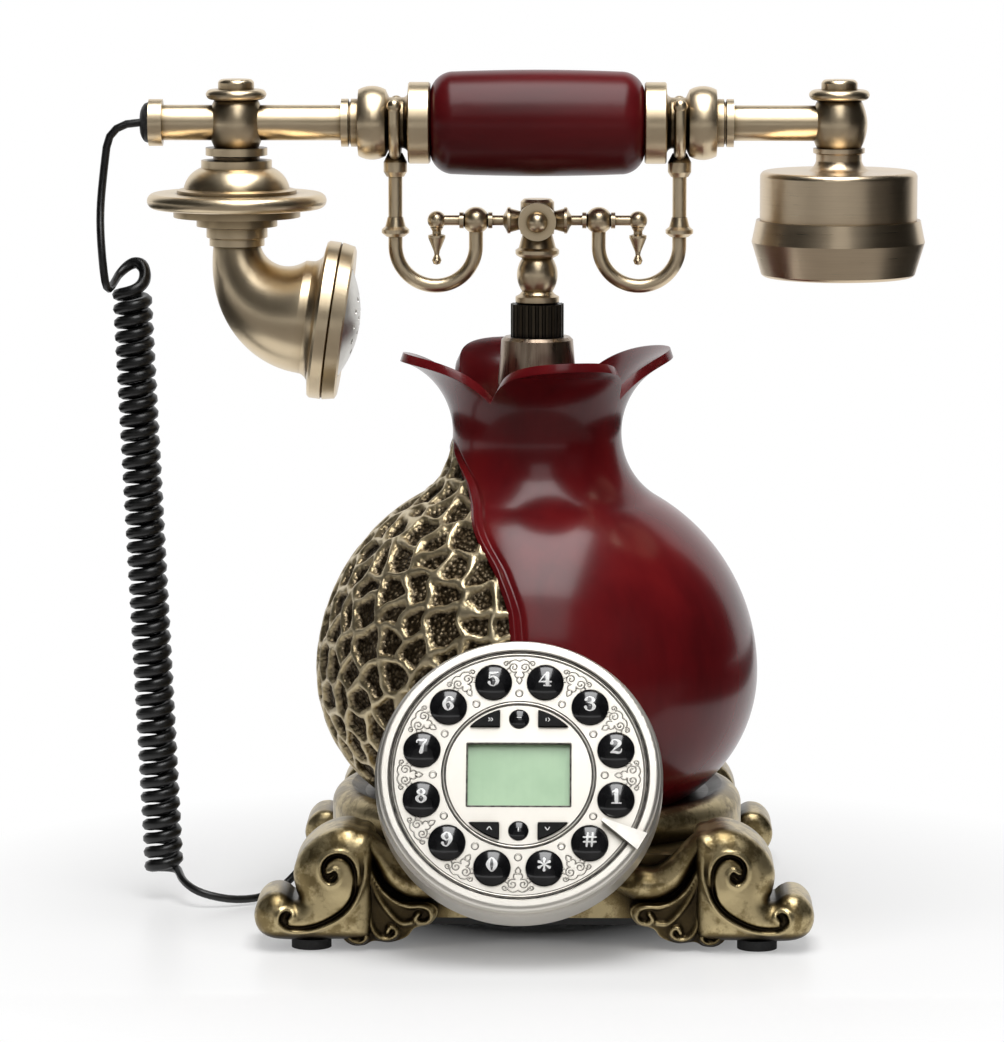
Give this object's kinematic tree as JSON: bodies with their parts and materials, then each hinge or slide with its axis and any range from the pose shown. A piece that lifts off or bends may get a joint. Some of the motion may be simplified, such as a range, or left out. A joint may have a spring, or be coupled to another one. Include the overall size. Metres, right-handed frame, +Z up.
{
  "type": "desk telephone",
  "caption": "Pomegranate-shaped antique-style desk telephone: scroll-footed base, tilted push-button dial, hook cradle, brass handset with elbow mouthpiece and a curly cord.",
  "frame": {"origin": "middle of the footprint's box on the table, under the rubber pads", "axes": "+Z up, -Y towards the dial at the front, +X to the ear cup"},
  "size_m": [0.2762, 0.2018, 0.2811],
  "materials": {
    "bronze_resin": "cast resin with patinated bronze paint",
    "seed_bronze": "cast resin with dark gold patina",
    "wine_lacquer": "glossy wine-red lacquer",
    "antique_brass": "polished antique brass",
    "silver_trim": "satin silver",
    "champagne_dial": "champagne silver",
    "black_keys": "glossy black",
    "display": "pale green display",
    "circuit_board": "green board",
    "black_cord": "black cord",
    "rubber": "matt",
    "black_plastic": "matt",
    "steel": "plain"
  },
  "bodies": {
    "base": {"base_plinth": "bronze_resin", "feet_front": "bronze_resin", "feet_rear": "bronze_resin", "rubber_pads": "rubber", "bottom_cover": "black_plastic", "cover_screws": "steel", "modular_jacks": "black_plastic", "main_board": "circuit_board", "ringer_sounder": "black_plastic", "peel_shell": "wine_lacquer", "seed_core": "seed_bronze", "hook_socket": "antique_brass", "hook_switch": "black_plastic", "return_spring": "steel", "dial_housing": "champagne_dial", "dial_face": "champagne_dial", "finger_stop": "silver_trim", "display_module": "display", "key_board": "circuit_board", "cord_coil": "black_cord", "cord_lower_lead": "black_cord"},
    "cradle": {"spline_plunger": "antique_brass", "cradle_column": "antique_brass", "cradle_arm_left": "antique_brass", "cradle_arm_right": "antique_brass", "cradle_fork_left": "antique_brass", "cradle_fork_right": "antique_brass"},
    "handset": {"handset_grip": "wine_lacquer", "grip_ferrules": "antique_brass", "arm_tubes": "antique_brass", "mouth_barrel": "antique_brass", "ear_barrel": "antique_brass", "cord_gland": "black_cord", "mouth_stack": "antique_brass", "mouth_horn": "antique_brass", "mouth_bezel": "antique_brass", "mouth_cap": "silver_trim", "microphone": "black_plastic", "ear_cup": "antique_brass", "ear_cap": "antique_brass", "receiver": "black_plastic", "cord_upper_lead": "black_cord"},
    "key_1_cap": {"key_1": "black_keys"},
    "key_2_cap": {"key_2": "black_keys"},
    "key_3_cap": {"key_3": "black_keys"},
    "key_4_cap": {"key_4": "black_keys"},
    "key_5_cap": {"key_5": "black_keys"},
    "key_6_cap": {"key_6": "black_keys"},
    "key_7_cap": {"key_7": "black_keys"},
    "key_8_cap": {"key_8": "black_keys"},
    "key_9_cap": {"key_9": "black_keys"},
    "key_star_cap": {"key_star": "black_keys"},
    "key_0_cap": {"key_0": "black_keys"},
    "key_hash_cap": {"key_hash": "black_keys"},
    "key_redial_cap": {"key_redial": "black_keys"},
    "key_set_cap": {"key_set": "black_keys"},
    "key_speaker_cap": {"key_speaker": "black_keys"},
    "key_up_cap": {"key_up": "black_keys"},
    "key_out_cap": {"key_out": "black_keys"},
    "key_down_cap": {"key_down": "black_keys"}
  },
  "joints": [
    {"name": "handset_lift", "type": "slide", "parent": "base", "child": "handset", "axis": [0, 0, 1], "range_m": [0, 0.06], "deforming": ["cord_coil"]},
    {"name": "cradle_rise", "type": "slide", "parent": "base", "child": "cradle", "axis": [0, 0, 1], "range_m": [0, 0.004], "deforming": ["return_spring"]},
    {"name": "key_1_press", "type": "slide", "parent": "base", "child": "key_1_cap", "axis": [0, 0.8829, -0.4695], "range_m": [0, 0.0015], "stiffness_N_per_m": 300, "springref_m": -0.001},
    {"name": "key_2_press", "type": "slide", "parent": "base", "child": "key_2_cap", "axis": [0, 0.8829, -0.4695], "range_m": [0, 0.0015], "stiffness_N_per_m": 300, "springref_m": -0.001},
    {"name": "key_3_press", "type": "slide", "parent": "base", "child": "key_3_cap", "axis": [0, 0.8829, -0.4695], "range_m": [0, 0.0015], "stiffness_N_per_m": 300, "springref_m": -0.001},
    {"name": "key_4_press", "type": "slide", "parent": "base", "child": "key_4_cap", "axis": [0, 0.8829, -0.4695], "range_m": [0, 0.0015], "stiffness_N_per_m": 300, "springref_m": -0.001},
    {"name": "key_5_press", "type": "slide", "parent": "base", "child": "key_5_cap", "axis": [0, 0.8829, -0.4695], "range_m": [0, 0.0015], "stiffness_N_per_m": 300, "springref_m": -0.001},
    {"name": "key_6_press", "type": "slide", "parent": "base", "child": "key_6_cap", "axis": [0, 0.8829, -0.4695], "range_m": [0, 0.0015], "stiffness_N_per_m": 300, "springref_m": -0.001},
    {"name": "key_7_press", "type": "slide", "parent": "base", "child": "key_7_cap", "axis": [0, 0.8829, -0.4695], "range_m": [0, 0.0015], "stiffness_N_per_m": 300, "springref_m": -0.001},
    {"name": "key_8_press", "type": "slide", "parent": "base", "child": "key_8_cap", "axis": [0, 0.8829, -0.4695], "range_m": [0, 0.0015], "stiffness_N_per_m": 300, "springref_m": -0.001},
    {"name": "key_9_press", "type": "slide", "parent": "base", "child": "key_9_cap", "axis": [0, 0.8829, -0.4695], "range_m": [0, 0.0015], "stiffness_N_per_m": 300, "springref_m": -0.001},
    {"name": "key_star_press", "type": "slide", "parent": "base", "child": "key_star_cap", "axis": [0, 0.8829, -0.4695], "range_m": [0, 0.0015], "stiffness_N_per_m": 300, "springref_m": -0.001},
    {"name": "key_0_press", "type": "slide", "parent": "base", "child": "key_0_cap", "axis": [0, 0.8829, -0.4695], "range_m": [0, 0.0015], "stiffness_N_per_m": 300, "springref_m": -0.001},
    {"name": "key_hash_press", "type": "slide", "parent": "base", "child": "key_hash_cap", "axis": [0, 0.8829, -0.4695], "range_m": [0, 0.0015], "stiffness_N_per_m": 300, "springref_m": -0.001},
    {"name": "key_redial_press", "type": "slide", "parent": "base", "child": "key_redial_cap", "axis": [0, 0.8829, -0.4695], "range_m": [0, 0.0015], "stiffness_N_per_m": 300, "springref_m": -0.001},
    {"name": "key_set_press", "type": "slide", "parent": "base", "child": "key_set_cap", "axis": [0, 0.8829, -0.4695], "range_m": [0, 0.0015], "stiffness_N_per_m": 300, "springref_m": -0.001},
    {"name": "key_speaker_press", "type": "slide", "parent": "base", "child": "key_speaker_cap", "axis": [0, 0.8829, -0.4695], "range_m": [0, 0.0015], "stiffness_N_per_m": 300, "springref_m": -0.001},
    {"name": "key_up_press", "type": "slide", "parent": "base", "child": "key_up_cap", "axis": [0, 0.8829, -0.4695], "range_m": [0, 0.0015], "stiffness_N_per_m": 300, "springref_m": -0.001},
    {"name": "key_out_press", "type": "slide", "parent": "base", "child": "key_out_cap", "axis": [0, 0.8829, -0.4695], "range_m": [0, 0.0015], "stiffness_N_per_m": 300, "springref_m": -0.001},
    {"name": "key_down_press", "type": "slide", "parent": "base", "child": "key_down_cap", "axis": [0, 0.8829, -0.4695], "range_m": [0, 0.0015], "stiffness_N_per_m": 300, "springref_m": -0.001}
  ],
  "couplings": [
    {"joint": "cradle_rise", "follows": "handset_lift", "ratio": 0.066667}
  ]
}
